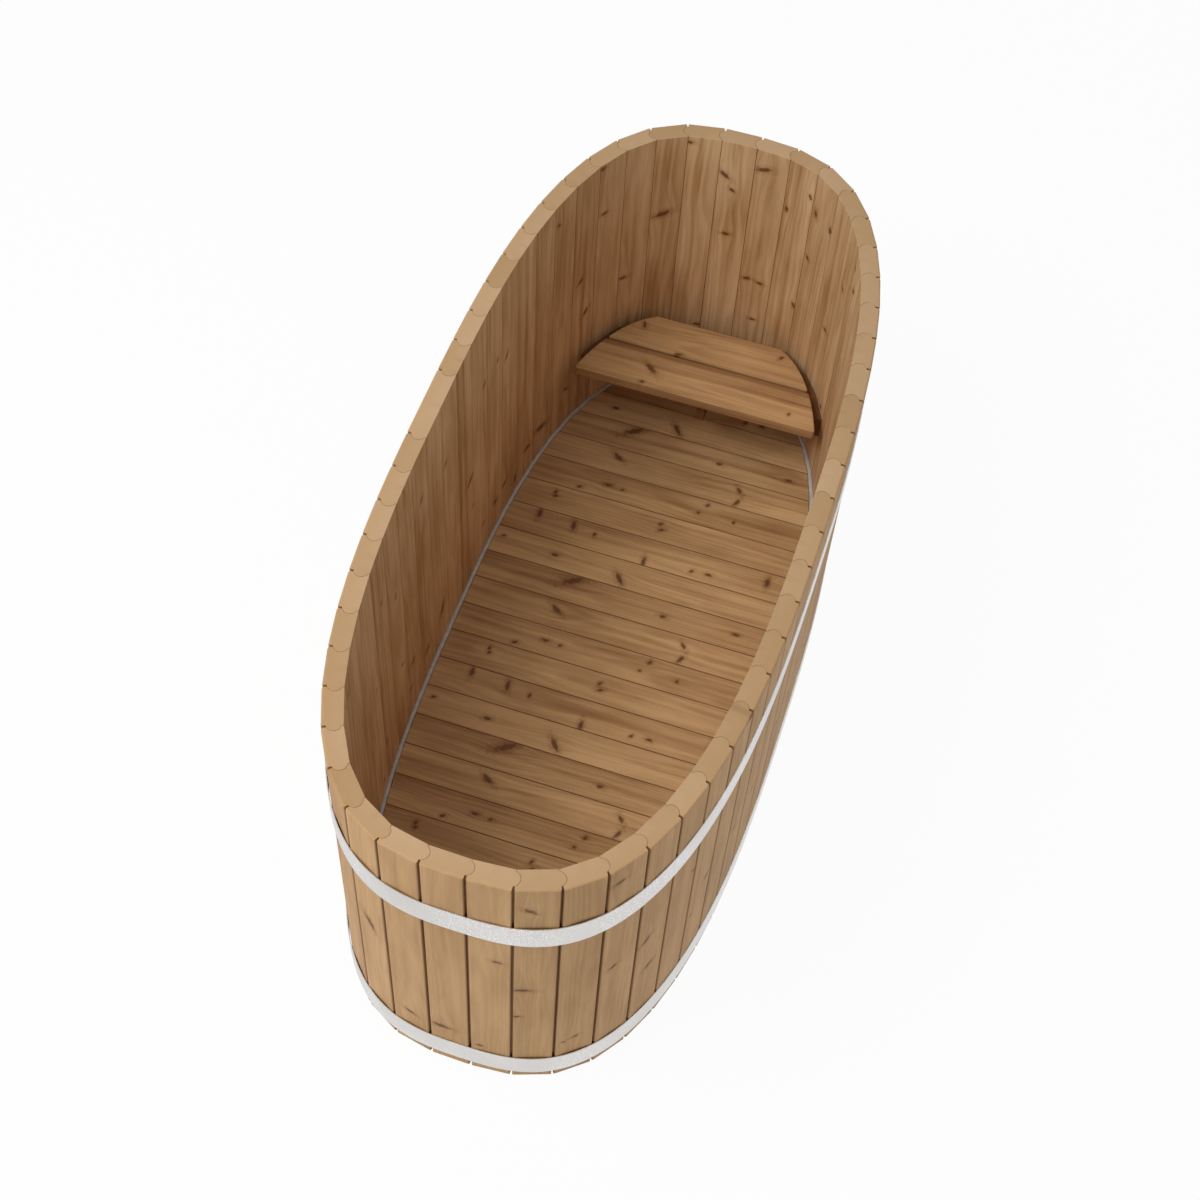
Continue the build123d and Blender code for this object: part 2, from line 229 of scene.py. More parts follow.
def across_tub(points, low, high, steps, even=False):
    """Outline of what lies inside a closed line between two places along Y, with its points closer together
    near its ends unless they are even."""
    hair = 0.00001
    low = max(low, min(p.y for p in points) + hair)
    high = min(high, max(p.y for p in points) - hair)
    right = []
    left = []
    for i in range(steps + 1):
        y = low + (high - low) * (i / steps if even else (1 - math.cos(math.pi * i / steps)) / 2)
        x_right, x_left = sides_at(points, y)
        right.append(Vector((x_right, y)))
        left.append(Vector((x_left, y)))
    return right + left[::-1]


def seen_from(outline, centre, angles):
    """Points of an outline in given directions from a centre."""
    found = []
    for t in angles:
        ray = Vector((math.cos(t), math.sin(t)))
        best = None
        for i in range(len(outline)):
            a = outline[i - 1] - centre
            edge = outline[i] - outline[i - 1]
            cross = ray.x * edge.y - ray.y * edge.x
            if abs(cross) < 1e-12:
                continue
            reach = (a.x * edge.y - a.y * edge.x) / cross
            share = (a.x * ray.y - a.y * ray.x) / cross
            if reach > 0 and -1e-9 <= share <= 1 + 1e-9:
                best = reach if best is None else max(best, reach)
        found.append(centre + ray * best)
    return found


def out_of(outline):
    """Outward direction at each point of an outline, longer at a corner so that both sides move alike."""
    result = []
    for i, point in enumerate(outline):
        a = (point - outline[i - 1]).normalized()
        b = (outline[(i + 1) % len(outline)] - point).normalized()
        first = Vector((a.y, -a.x))
        both = first + Vector((b.y, -b.x))
        result.append(both / max(0.4, both.dot(first)))
    return result


# Wood: each board has its own grain, tone and knots, which its material reads from the mesh
knot_slots = 7
no_knot = (0.0, 0.0, 0.0, 0.0)
ease_steps = 3


class Wood:
    """Where a board's grain runs, and what sets it apart from other boards.

    A knot is its place along and across the grain, half its length, and its turn from the grain."""

    def __init__(self, origin, along, across, seed, tone=0.0, band=0.0, knots=()):
        self.origin = Vector(origin)
        self.along = Vector(along)
        self.across = Vector(across)
        self.depth = self.along.cross(self.across)
        self.board = (seed, tone, band)
        self.knots = (list(knots) + [no_knot] * knot_slots)[:knot_slots]

    def at(self, point):
        place = Vector(point) - self.origin
        return (place.dot(self.along), place.dot(self.across), place.dot(self.depth))


def end_rings(outline, level, side, eases, directions=None):
    """Rings that round an end of a slab: from its flat face at a level to its full outline. Side is 1 if the
    slab is above that level and -1 if it is below."""
    directions = directions or out_of(outline)
    rings = []
    for step in range(ease_steps + 1):
        turn = math.pi / 2 * step / ease_steps
        points = []
        for point, ease, direction in zip(outline, eases, directions):
            flat = point - direction * ease * (1 - math.sin(turn))
            points.append(Vector((*flat, level + side * ease * (1 - math.cos(turn)))))
        rings.append(points)
    return rings


class Solids:
    """The mesh of one piece: solids made of rings of points, with the values its material reads."""

    def __init__(self):
        self.points = []
        self.faces = []
        self.layers = {"grain": [], "board": [], "edge": []}
        for slot in range(knot_slots):
            self.layers[f"knot_{slot}"] = []

    def add_rings(self, rings, wood=None, edges=None, closed=False):
        """Joins rings of equally many points. Edges holds each point's share of dark seam colour, which is
        wear with painted shade, and its share of end grain.
        """
        first = len(self.points)
        count = len(rings[0])
        for points in rings:
            self.points.extend(points)
        for r in range(len(rings) if closed else len(rings) - 1):
            low = first + r * count
            high = first + (r + 1) % len(rings) * count
            for i in range(count):
                j = (i + 1) % count
                self.faces.append((low + i, low + j, high + j, high + i))
        if not closed:
            last = first + (len(rings) - 1) * count
            self.faces.append(tuple(range(first + count - 1, first - 1, -1)))
            self.faces.append(tuple(range(last, last + count)))
        if wood:
            for r, points in enumerate(rings):
                for i, point in enumerate(points):
                    self.layers["grain"].append(wood.at(point))
                    self.layers["board"].append(wood.board)
                    self.layers["edge"].append((*edges[r][i], 0.0))
                    for slot in range(knot_slots):
                        self.layers[f"knot_{slot}"].append(wood.knots[slot])

    def add_slab(self, outline, low, high, ease, wood=None, end_grain=False, place=None):
        """A plan outline between two heights, with rounded ends, put in place by a matrix."""
        eases = [ease] * len(outline)
        rings = end_rings(outline, low, 1, eases) + end_rings(outline, high, -1, eases)[::-1]
        steps = [step / ease_steps for step in (0, 1, 2, 3, 3, 2, 1, 0)]
        # Eased edges get half the seam colour: wear and painted shade along the edges and joints
        edges = [[(step * 0.5, (1 - step) * end_grain)] * len(outline) for step in steps]
        if place:
            rings = [[place @ point for point in points] for points in rings]
        self.add_rings(rings, wood, edges)

    def add_turned(self, profile, centre, place=None, count=48, closed=False):
        """A turned solid: a profile of radius and height, turned about an upright axis."""
        rings = []
        for radius, height in profile:
            rings.append([Vector((*p, height)) for p in circle(centre, radius, count)])
        if place:
            rings = [[place @ point for point in points] for points in rings]
        self.add_rings(rings, closed=closed)

    def piece(self, name, material, body, slot, *nodes, crease=38):
        """Makes the Blender object, gives it its finish and ties it to the frame."""
        mesh = bpy.data.meshes.new(name)
        mesh.from_pydata(self.points, [], self.faces)
        for layer, values in self.layers.items():
            if values:
                width = len(values[0])
                kind, key = {3: ("FLOAT_VECTOR", "vector"), 4: ("FLOAT_COLOR", "color")}[width]
                attribute = mesh.attributes.new(layer, kind, "POINT")
                attribute.data.foreach_set(key, [number for value in values for number in value])
        work = bmesh.new()
        work.from_mesh(mesh)
        bmesh.ops.recalc_face_normals(work, faces=work.faces)
        work.to_mesh(mesh)
        work.free()
        mesh.polygons.foreach_set("use_smooth", [len(face.vertices) == 4 for face in mesh.polygons])
        mesh.set_sharp_from_angle(angle=math.radians(crease))
        mesh.materials.append(material)
        piece = bpy.data.objects.new(name, mesh)
        bpy.context.scene.collection.objects.link(piece)
        even = piece.modifiers.new("even_shading", "WEIGHTED_NORMAL")
        even.keep_sharp = True
        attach(piece, body)
        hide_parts(*nodes)
        return piece


# Materials
class Shader:
    """A material's nodes, with short calls for the kinds used most."""

    def __init__(self, name):
        self.material = bpy.data.materials.new(name)
        self.material.use_nodes = True
        self.tree = self.material.node_tree
        self.surface = self.tree.nodes["Principled BSDF"]

    def feed(self, socket, value):
        if isinstance(value, bpy.types.NodeSocket):
            self.tree.links.new(value, socket)
        else:
            socket.default_value = value

    def add(self, kind, inputs, **settings):
        node = self.tree.nodes.new(kind)
        for key, value in settings.items():
            setattr(node, key, value)
        for key, value in inputs.items():
            self.feed(node.inputs[key], value)
        return node

    def math(self, operation, *values):
        return self.add("ShaderNodeMath", dict(enumerate(values)), operation=operation).outputs[0]

    def times(self, a, b):
        return self.math("MULTIPLY", a, b)

    def line(self, value, slope, start):
        """A value times a slope, plus a start."""
        return self.math("MULTIPLY_ADD", value, slope, start)

    def total(self, *values):
        result = values[0]
        for value in values[1:]:
            result = self.math("ADD", result, value)
        return result

    def length(self, a, b):
        return self.math("SQRT", self.total(self.times(a, a), self.times(b, b)))

    def vector(self, x, y, z):
        return self.add("ShaderNodeCombineXYZ", {0: x, 1: y, 2: z}).outputs[0]

    def parts(self, vector):
        return self.add("ShaderNodeSeparateXYZ", {0: vector}).outputs

    def noise(self, vector, detail=2.0, roughness=0.5, scale=1.0):
        inputs = {"Vector": vector, "Scale": scale, "Detail": detail, "Roughness": roughness}
        return self.add("ShaderNodeTexNoise", inputs)

    def step(self, value, low, high, first=0.0, last=1.0):
        """A smooth change from first to last while the value goes from low to high."""
        inputs = {"Value": value, "From Min": low, "From Max": high, "To Min": first, "To Max": last}
        return self.add("ShaderNodeMapRange", inputs, interpolation_type="SMOOTHSTEP").outputs[0]

    def mix(self, share, a, b):
        node = self.add("ShaderNodeMix", {}, data_type="RGBA")
        self.feed(node.inputs[0], share)
        self.feed(node.inputs[6], a)
        self.feed(node.inputs[7], b)
        return node.outputs[2]

    def attribute(self, name):
        return self.add("ShaderNodeAttribute", {}, attribute_name=name).outputs

    def place(self):
        return self.add("ShaderNodeTexCoord", {}).outputs["Object"]

    def bump(self, height, depth):
        inputs = {"Strength": 1.0, "Distance": depth, "Height": height}
        self.feed(self.surface.inputs["Normal"], self.add("ShaderNodeBump", inputs).outputs[0])

    def set(self, **inputs):
        for key, value in inputs.items():
            self.feed(self.surface.inputs[key.replace("_", " ")], value)


def colour(red, green, blue):
    """A colour as a screen shows it, from 0 to 255, turned into light."""
    values = [c / 255 for c in (red, green, blue)]
    return (*[c / 12.92 if c <= 0.04045 else ((c + 0.055) / 1.055) ** 2.4 for c in values], 1.0)


def add_knots(s, along, across, slots):
    """Knots on a board: how much of each point is a knot's core, how much its rim, and how far the grain
    beside it is pushed aside."""
    ragged = s.noise(s.vector(s.times(along, 130.0), s.times(across, 130.0), 0.0), 2.0).outputs[0]
    uneven = s.line(ragged, 1.5, 0.25)
    cores = []
    rims = []
    pushes = []
    for i in range(slots):
        values = s.attribute(f"knot_{i}")
        place_along, place_across, reach = s.parts(values["Color"])
        off_along = s.math("SUBTRACT", along, place_along)
        off_across = s.math("SUBTRACT", across, place_across)
        cosine = s.math("COSINE", values["Alpha"])
        sine = s.math("SINE", values["Alpha"])
        lengthways = s.total(s.times(off_along, cosine), s.times(off_across, sine))
        sideways = s.math("SUBTRACT", s.times(off_across, cosine), s.times(off_along, sine))
        narrow = s.math("DIVIDE", sideways, s.line(reach, 0.22, 0.0024))
        away = s.length(s.math("DIVIDE", lengthways, s.math("MAXIMUM", reach, 0.0001)), narrow)
        away = s.times(away, uneven)
        there = s.math("GREATER_THAN", reach, 0.0005)
        cores.append(s.times(s.step(away, 0.45, 1.2, 1.0, 0.0), there))
        rims.append(s.times(s.step(away, 0.9, 2.6, 1.0, 0.0), there))
        far_along = s.math("DIVIDE", off_along, s.line(reach, 1.6, 0.018))
        far_across = s.math("DIVIDE", off_across, s.line(reach, 0.9, 0.005))
        near = s.times(s.total(s.times(far_along, far_along), s.times(far_across, far_across)), -1.0)
        pushes.append(s.times(s.times(off_across, s.times(s.math("EXPONENT", near), there)), 0.85))
    core = s.math("MINIMUM", s.total(*cores), 1.0)
    rim = s.math("MINIMUM", s.total(*rims), 1.0)
    return core, rim, s.total(*pushes)


def add_grain(s, along, across, depth, seed, ring_width):
    """Growth rings round a pith beside the board, streaks along it, cloudy patches and fine fibres."""
    far = s.line(seed, 17.3, along)
    drift = s.noise(s.vector(s.times(far, 1.3), s.times(across, 7.0), s.times(depth, 7.0)))
    drift_across, drift_depth, drift_tone = s.parts(drift.outputs["Color"])
    bent_across = s.line(s.math("SUBTRACT", drift_across, 0.5), 0.035, across)
    bent_depth = s.line(s.math("SUBTRACT", drift_depth, 0.5), 0.045, depth)
    pith_across = s.line(s.math("FRACT", s.times(seed, 3.71)), 0.10, -0.05)
    pith_depth = s.line(s.math("FRACT", s.times(seed, 5.37)), 0.08, 0.03)
    radius = s.length(s.math("SUBTRACT", bent_across, pith_across), s.math("ADD", bent_depth, pith_depth))
    turn = s.math("FRACT", s.math("DIVIDE", radius, ring_width))
    late = s.times(s.step(turn, 0.15, 0.75), s.step(turn, 0.78, 1.0, 1.0, 0.0))
    streak_place = s.vector(s.times(far, 1.6), s.times(bent_across, 70.0), s.times(bent_depth, 70.0))
    streak = s.noise(streak_place, 4.0, 0.6)
    fibre = s.noise(s.vector(s.times(far, 22.0), s.times(bent_across, 900.0), s.times(depth, 900.0)))
    cloud = s.noise(s.vector(s.times(far, 4.0), s.times(across, 14.0), s.times(depth, 14.0)), 3.0)
    return late, streak.outputs[0], fibre.outputs[0], cloud.outputs[0], drift_tone


# Dark seam colour for eased edges, grooves and board sides: partly dirt, partly painted shade in the joints
seam_dirt_and_shade = colour(98, 64, 38)
end_grain = (colour(184, 153, 119), colour(166, 134, 96))
# Lighter, paler colour for the wall's inside than its outside: painted light for how light falls on each
# face
inner_colour_painted_light = colour(217, 182, 141)


def wood_material(
    name, light, dark, knot, contrast=1.0, inner=None, dirt_and_shade_share=0.45, slots=4, bands=False, solid=False
):
    """Planed softwood.

    Contrast is how strong its figure is, inner how strong on the wall's inside, and the dirt-and-shade share
    how dark its eased edges, grooves and board sides are, with a seam colour that is partly dirt and partly
    painted shade. Slots is how many knots a board can show, and bands adds a board's dark streak and dark
    edge.

    A solid one is for a plain piece that holds no values of its own: its grain runs along Y."""
    s = Shader(name)
    if solid:
        across, along, depth = s.parts(s.place())
        seed, tone, band = (2.6, 0.0, 0.0)
        wear_and_shade, end = (0.0, 0.0)
        core = rim = pushed = 0.0
    else:
        along, across, depth = s.parts(s.attribute("grain")["Vector"])
        seed, tone, band = s.parts(s.attribute("board")["Vector"])
        wear_and_shade, end, _ = s.parts(s.attribute("edge")["Vector"])
        core, rim, pushed = add_knots(s, along, across, slots)
    bent = s.math("SUBTRACT", across, pushed)
    late, streak, fibre, cloud, drift = add_grain(s, along, bent, depth, seed, 0.0048)
    figure = s.total(
        s.line(late, 0.22, -0.09),
        s.line(streak, 1.6, -0.8),
        s.line(cloud, 1.7, -0.85),
        s.line(fibre, 0.5, -0.25),
    )
    strength = s.line(end, -0.7 * contrast, contrast)
    if inner:
        inside = s.step(depth, 0.01, 0.03)
        strength = s.times(strength, s.line(inside, inner / contrast - 1.0, 1.0))
        # Painted light: the wall's inside gets a lighter, paler colour than its outside
        light = s.mix(inside, light, inner_colour_painted_light)
        band = s.times(band, inside)
    darkness = s.total(s.times(figure, strength), s.times(rim, 0.3), 0.45, tone)
    if bands:
        swing = s.line(drift, 0.014, s.math("SUBTRACT", across, 0.009))
        middle = s.step(s.math("ABSOLUTE", swing), 0.0, 0.010, 1.0, 0.0)
        far_edge = s.step(across, 0.020, 0.038)
        near_half = s.step(across, 0.006, -0.006)
        shade = s.total(s.times(middle, 0.26), s.times(far_edge, 0.24), s.times(near_half, -0.10))
        darkness = s.total(darkness, s.times(band, shade))
    base = s.mix(s.math("MINIMUM", s.math("MAXIMUM", darkness, 0.0), 1.0), light, dark)
    base = s.mix(s.times(core, 0.85), base, knot)
    base = s.mix(s.times(end, 0.75), base, s.mix(s.math("FRACT", s.times(seed, 7.3)), *end_grain))
    # Painted shade with dirt: the dark seam colour on edges, grooves and board sides, stronger on the wall's
    # inside
    share = s.line(inside, 0.4, dirt_and_shade_share) if inner else dirt_and_shade_share
    base = s.mix(s.times(wear_and_shade, share), base, seam_dirt_and_shade)
    s.set(Base_Color=base, Roughness=s.step(fibre, 0.2, 0.8, 0.55, 0.72), Specular_IOR_Level=0.3)
    s.bump(s.total(s.times(fibre, 0.5), s.times(late, 0.1), s.times(core, -0.5)), 0.0003)
    return s.material


def steel_material(name, tint, rough, painted_glints=0.0):
    """Satin steel, slightly cloudy, with fine painted glints: white specks in its colour."""
    s = Shader(name)
    place = s.place()
    grain = s.noise(place, 3.0, 0.6, 700.0).outputs[0]
    smear = s.noise(place, 3.0, 0.5, 9.0).outputs[0]
    base = s.mix(s.step(smear, 0.3, 0.7), tint, tuple(c * 0.93 for c in tint[:3]) + (1.0,))
    # Painted glints: white specks in patches, put into the base colour
    glint_cells = s.add("ShaderNodeTexVoronoi", {"Vector": place, "Scale": 300.0}).outputs["Distance"]
    patches = s.step(s.noise(place, 2.0, 0.5, 6.0).outputs[0], 0.42, 0.58, 0.1, 1.0)
    shown = s.times(s.times(s.step(glint_cells, 0.20, 0.42, 1.0, 0.0), patches), painted_glints)
    base = s.mix(shown, base, (1.0, 1.0, 1.0, 1.0))
    s.set(Base_Color=base, Metallic=1.0, Roughness=s.step(grain, 0.3, 0.7, rough - 0.08, rough + 0.08))
    s.bump(grain, 0.0001)
    return s.material


def rubber_material(name, tint, rough):
    """Matt rubber or sealant, slightly uneven."""
    s = Shader(name)
    patch = s.noise(s.place(), 3.0, 0.6, 70.0).outputs[0]
    base = s.mix(s.step(patch, 0.3, 0.7), tint, tuple(c * 0.8 for c in tint[:3]) + (1.0,))
    s.set(Base_Color=base, Roughness=s.step(patch, 0.2, 0.8, rough - 0.08, rough + 0.08))
    s.bump(patch, 0.0004)
    return s.material


knot_brown = colour(92, 56, 32)
wall_wood = wood_material(
    "wall_wood",
    colour(212, 171, 121),
    colour(167, 124, 79),
    knot_brown,
    contrast=0.65,
    inner=0.9,
    bands=True,
)
floor_wood = wood_material(
    "floor_wood",
    colour(210, 172, 124),
    colour(147, 107, 68),
    knot_brown,
    contrast=0.75,
    dirt_and_shade_share=0.9,
    slots=7,
    bands=True,
)
seat_wood = wood_material(
    "seat_wood", colour(202, 163, 116), colour(144, 104, 66), knot_brown, contrast=0.75, bands=True
)
bearer_wood = wood_material("bearer_wood", colour(180, 142, 100), colour(120, 84, 52), knot_brown)
# Dark wood for the batten and rests under the seat: its darkness is painted shade from the seat above
plain_wood_painted_shade = wood_material("plain_wood_painted_shade", colour(118, 80, 50), colour(84, 53, 32), knot_brown, solid=True)
hoop_steel = steel_material("hoop_steel", colour(222, 219, 216), rough=0.42, painted_glints=1.0)
fastener_steel = steel_material("fastener_steel", colour(190, 190, 190), rough=0.32)
drain_metal = steel_material("drain_metal", colour(205, 205, 205), rough=0.18)
seal_rubber = rubber_material("seal", colour(205, 201, 196), rough=0.6)
plug_rubber = rubber_material("plug_rubber", colour(38, 38, 38), rough=0.55)

draw = random.Random(11)

# Wall staves. Knots that the photograph shows, by stave: height, place across, half length and turn.
stave_knots = {
    0: [(0.605, -0.009, 0.009, 2.25), (0.175, 0.037, 0.020, 2.45)],
    1: [(0.65, -0.002, 0.009, 2.3), (0.153, 0.008, 0.012, 1.8)],
    2: [(0.227, 0.011, 0.010, 1.7), (0.153, 0.029, 0.008, 1.9)],
    3: [(0.30, -0.012, 0.006, 1.5), (0.55, -0.001, 0.007, 2.3)],
    11: [(0.42, -0.005, 0.024, 2.6)],
    12: [(0.148, -0.003, 0.013, 2.0)],
    13: [(0.15, -0.017, 0.019, 1.65)],
    15: [(0.40, -0.022, 0.016, 1.65), (0.285, -0.032, 0.008, 1.6), (0.715, -0.013, 0.013, 2.2)],
    16: [(0.16, -0.001, 0.008, 1.2), (0.15, -0.023, 0.005, 1.2)],
    17: [(0.405, -0.013, 0.011, 1.2), (0.74, -0.018, 0.012, 1.4)],
    18: [(0.41, -0.017, 0.015, 1.0), (0.28, 0.0, 0.014, 1.0)],
    21: [(0.785, 0.028, 0.010, 1.4)],
    38: [(0.69, 0.02, 0.010, 0.2), (0.685, -0.029, 0.009, 0.2), (0.56, 0.022, 0.007, 0.8)],
    39: [(0.72, -0.024, 0.008, 0.3), (0.655, 0.026, 0.008, 0.2), (0.40, -0.028, 0.009, 0.5)],
    40: [
        (0.417, 0.021, 0.010, 1.9),
        (0.414, -0.009, 0.009, 1.5),
        (0.297, -0.005, 0.008, 1.6),
        (0.738, 0.018, 0.018, 1.9),
    ],
    41: [(0.66, 0.003, 0.009, 0.9), (0.697, 0.022, 0.016, 0.9), (0.532, 0.005, 0.011, 1.7)],
    42: [(0.773, 0.028, 0.008, 1.5), (0.233, -0.029, 0.010, 1.4)],
    43: [(0.575, 0.007, 0.021, 1.92)],
    44: [(0.412, 0.023, 0.010, 1.5)],
    45: [(0.647, 0.019, 0.009, 1.6), (0.778, 0.030, 0.009, 1.5)],
    46: [(0.385, -0.010, 0.013, 2.4), (0.497, 0.012, 0.010, 2.3)],
    48: [(0.153, 0.003, 0.026, 1.26)],
    49: [(0.15, -0.011, 0.013, 1.33)],
    50: [(0.158, 0.028, 0.011, 2.0), (0.110, -0.029, 0.014, 2.9), (0.567, 0.018, 0.010, 2.5)],
    51: [(0.154, -0.001, 0.011, 1.3), (0.602, -0.014, 0.007, 2.55)],
    52: [(0.159, -0.012, 0.008, 1.75), (0.605, -0.024, 0.007, 2.35)],
    53: [(0.395, -0.020, 0.017, 1.9), (0.295, -0.035, 0.008, 2.0)],
}

# How strong the dark streak and edge are on a stave's inside. The row comes back every seven staves.
stave_bands = (0.9, 0.3, 0.7, 0.0, 1.1, 0.5, 0.2)

# Share of the dark seam colour, wear with painted shade, and of end grain on a stave's rings,
# from its flat end to its full outline
stave_end_edges = ((0.0, 1.0), (0.15, 0.7), (0.3, 0.3), (1.0, 0.0))


def drawn_knots():
    """Knots of a stave that the photograph doesn't show well."""
    knots = []
    for i in range(draw.choice((1, 2, 2))):
        reach = draw.choice((0.005, 0.007, 0.009, 0.013))
        knots.append((draw.uniform(0.05, 0.74), draw.uniform(-0.03, 0.03), reach, draw.uniform(0.8, 2.3)))
    return knots


def stave_outline(k):
    """Outline of stave k in plan, and each point's share of dark seam colour: wear and painted shade."""
    back = k - 1
    bead_end = wall_thickness - bead_land
    bead_middle = (groove_depth + bead_end) / 2
    bead_steps = 8
    start = corner[back] + face_along[k] * (edge_break + stave_gap)
    groove = corner[k] - face_along[k] * groove_width
    bead = arc(
        joint_point(k, groove_depth),
        joint_point(k, bead_middle, bead_height),
        joint_point(k, bead_end),
        bead_steps,
    )
    cove = arc(
        joint_point(back, bead_end, stave_gap),
        joint_point(back, bead_middle, bead_height + stave_gap),
        joint_point(back, groove_depth, stave_gap),
        bead_steps,
    )
    inner = ring_corner(k, wall_thickness)
    inner_back = ring_corner(back, wall_thickness) + face_along[k] * stave_gap
    groove_foot = corner[k] - face_along[k] * groove_foot_width - face_out[k] * groove_wall
    outline = rounded(start, groove, groove_foot, groove_round) + [groove_foot] + bead
    outline += rounded(bead[-1], inner, inner_back, edge_round)
    outline += rounded(inner, inner_back, cove[0], edge_round)
    outline += cove + rounded(cove[-1], start, groove, groove_round)
    # Seam colour, wear and painted shade: full in the groove and joint, fading over rounded edges
    fading = [1.0, 0.7, 0.25, 0.0]
    outline_wear_and_shade = fading[::-1] + [1.0] * (len(bead) + 1) + fading + fading[::-1] + [1.0] * len(cove) + fading
    return outline, outline_wear_and_shade


def add_stave(solids, k):
    middle = (corner[k] + corner[k - 1]) / 2
    knots = drawn_knots()
    wood = Wood(
        (*middle, 0.0),
        (0, 0, 1),
        (*face_along[k], 0.0),
        draw.uniform(0, 10),
        tone=draw.uniform(-0.13, 0.13),
        band=stave_bands[k % len(stave_bands)],
        knots=stave_knots.get(k, knots),
    )
    outline, outline_wear_and_shade = stave_outline(k)
    directions = out_of(outline)
    eases = [end_ease] * len(outline)
    for i, point in enumerate(outline):
        behind = (corner[k] - point).dot(face_out[k])
        if behind < rim_ease - end_ease:
            directions[i] = face_out[k]
            eases[i] = rim_ease - behind
    rings = end_rings(outline, 0.0, 1, eases, directions)
    rings += end_rings(outline, tub_height, -1, eases, directions)[::-1]
    edges = []
    for wear_and_shade, end in stave_end_edges:
        edges.append([(value * wear_and_shade, end) for value in outline_wear_and_shade])
    solids.add_rings(rings, wood, edges + edges[::-1])


def make_staves(name, members):
    solids = Solids()
    for k in members:
        add_stave(solids, k)
    solids.piece(name, wall_wood, "tub", "wall_wood", name)


make_staves("closing_stave", [0])
for first in range(1, stave_count, staves_per_group):
    group = range(first, min(first + staves_per_group, stave_count))
    make_staves(f"wall_staves_{(first - 1) // staves_per_group + 1:02d}", group)

# Floor boards. Their figure comes back every six boards: tone, strength of the dark middle, and knots.
floor_figures = [
    (
        0.08,
        0.5,
        [
            (-0.200, -0.024, 0.007, 0.5),
            (-0.140, 0.001, 0.009, 0.05),
            (-0.107, -0.001, 0.005, 0.3),
            (0.083, 0.022, 0.006, 1.0),
            (0.068, -0.005, 0.004, 1.0),
            (0.150, -0.005, 0.004, 1.0),
        ],
    ),
    (
        0.0,
        0.3,
        [
            (-0.245, 0.016, 0.006, 1.2),
            (-0.241, 0.006, 0.006, 0.3),
            (0.0, 0.010, 0.006, 1.0),
            (0.006, -0.005, 0.008, 0.4),
        ],
    ),
    (
        0.02,
        0.5,
        [
            (-0.259, 0.022, 0.013, 1.6),
            (-0.178, 0.015, 0.013, 1.7),
            (-0.128, 0.007, 0.006, 1.5),
            (-0.006, -0.026, 0.013, 1.7),
            (0.136, -0.013, 0.008, 0.1),
            (0.099, -0.016, 0.006, 1.0),
            (0.262, 0.010, 0.013, 1.6),
        ],
    ),
    (-0.16, 0.6, [(-0.042, -0.014, 0.018, -0.9), (-0.192, -0.001, 0.009, 0.2), (-0.313, 0.011, 0.006, 0.4)]),
    (0.06, 1.0, [(-0.133, 0.020, 0.026, 0.55), (0.075, -0.004, 0.008, 0.0), (0.235, 0.003, 0.008, 0.0)]),
    (-0.03, 0.8, [(-0.143, 0.010, 0.015, -0.6), (0.137, 0.012, 0.010, -0.9), (0.141, -0.022, 0.011, 1.1)]),
]
figure_seed_step = 1.37
board_seed_step = 0.03
drain_board = 22
drain_low, drain_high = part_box("drain_flange")
drain_centre = ((drain_low + drain_high) / 2).to_2d()
drain_radius = (drain_high.x - drain_low.x) / 2
drain_nut_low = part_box("drain_nut")[0].z
drain_bottom = drain_low.z
drain_bore = 0.015
drain_tube = 0.020
drain_lip = 0.004
drain_clearance = 0.0004
drain_facets = 72

floor_edges = [half_length, inner_end - floor_far_board]
for i in range(floor_full_boards):
    floor_edges.append(floor_edges[-1] - floor_board)
floor_edges.append(-half_length)


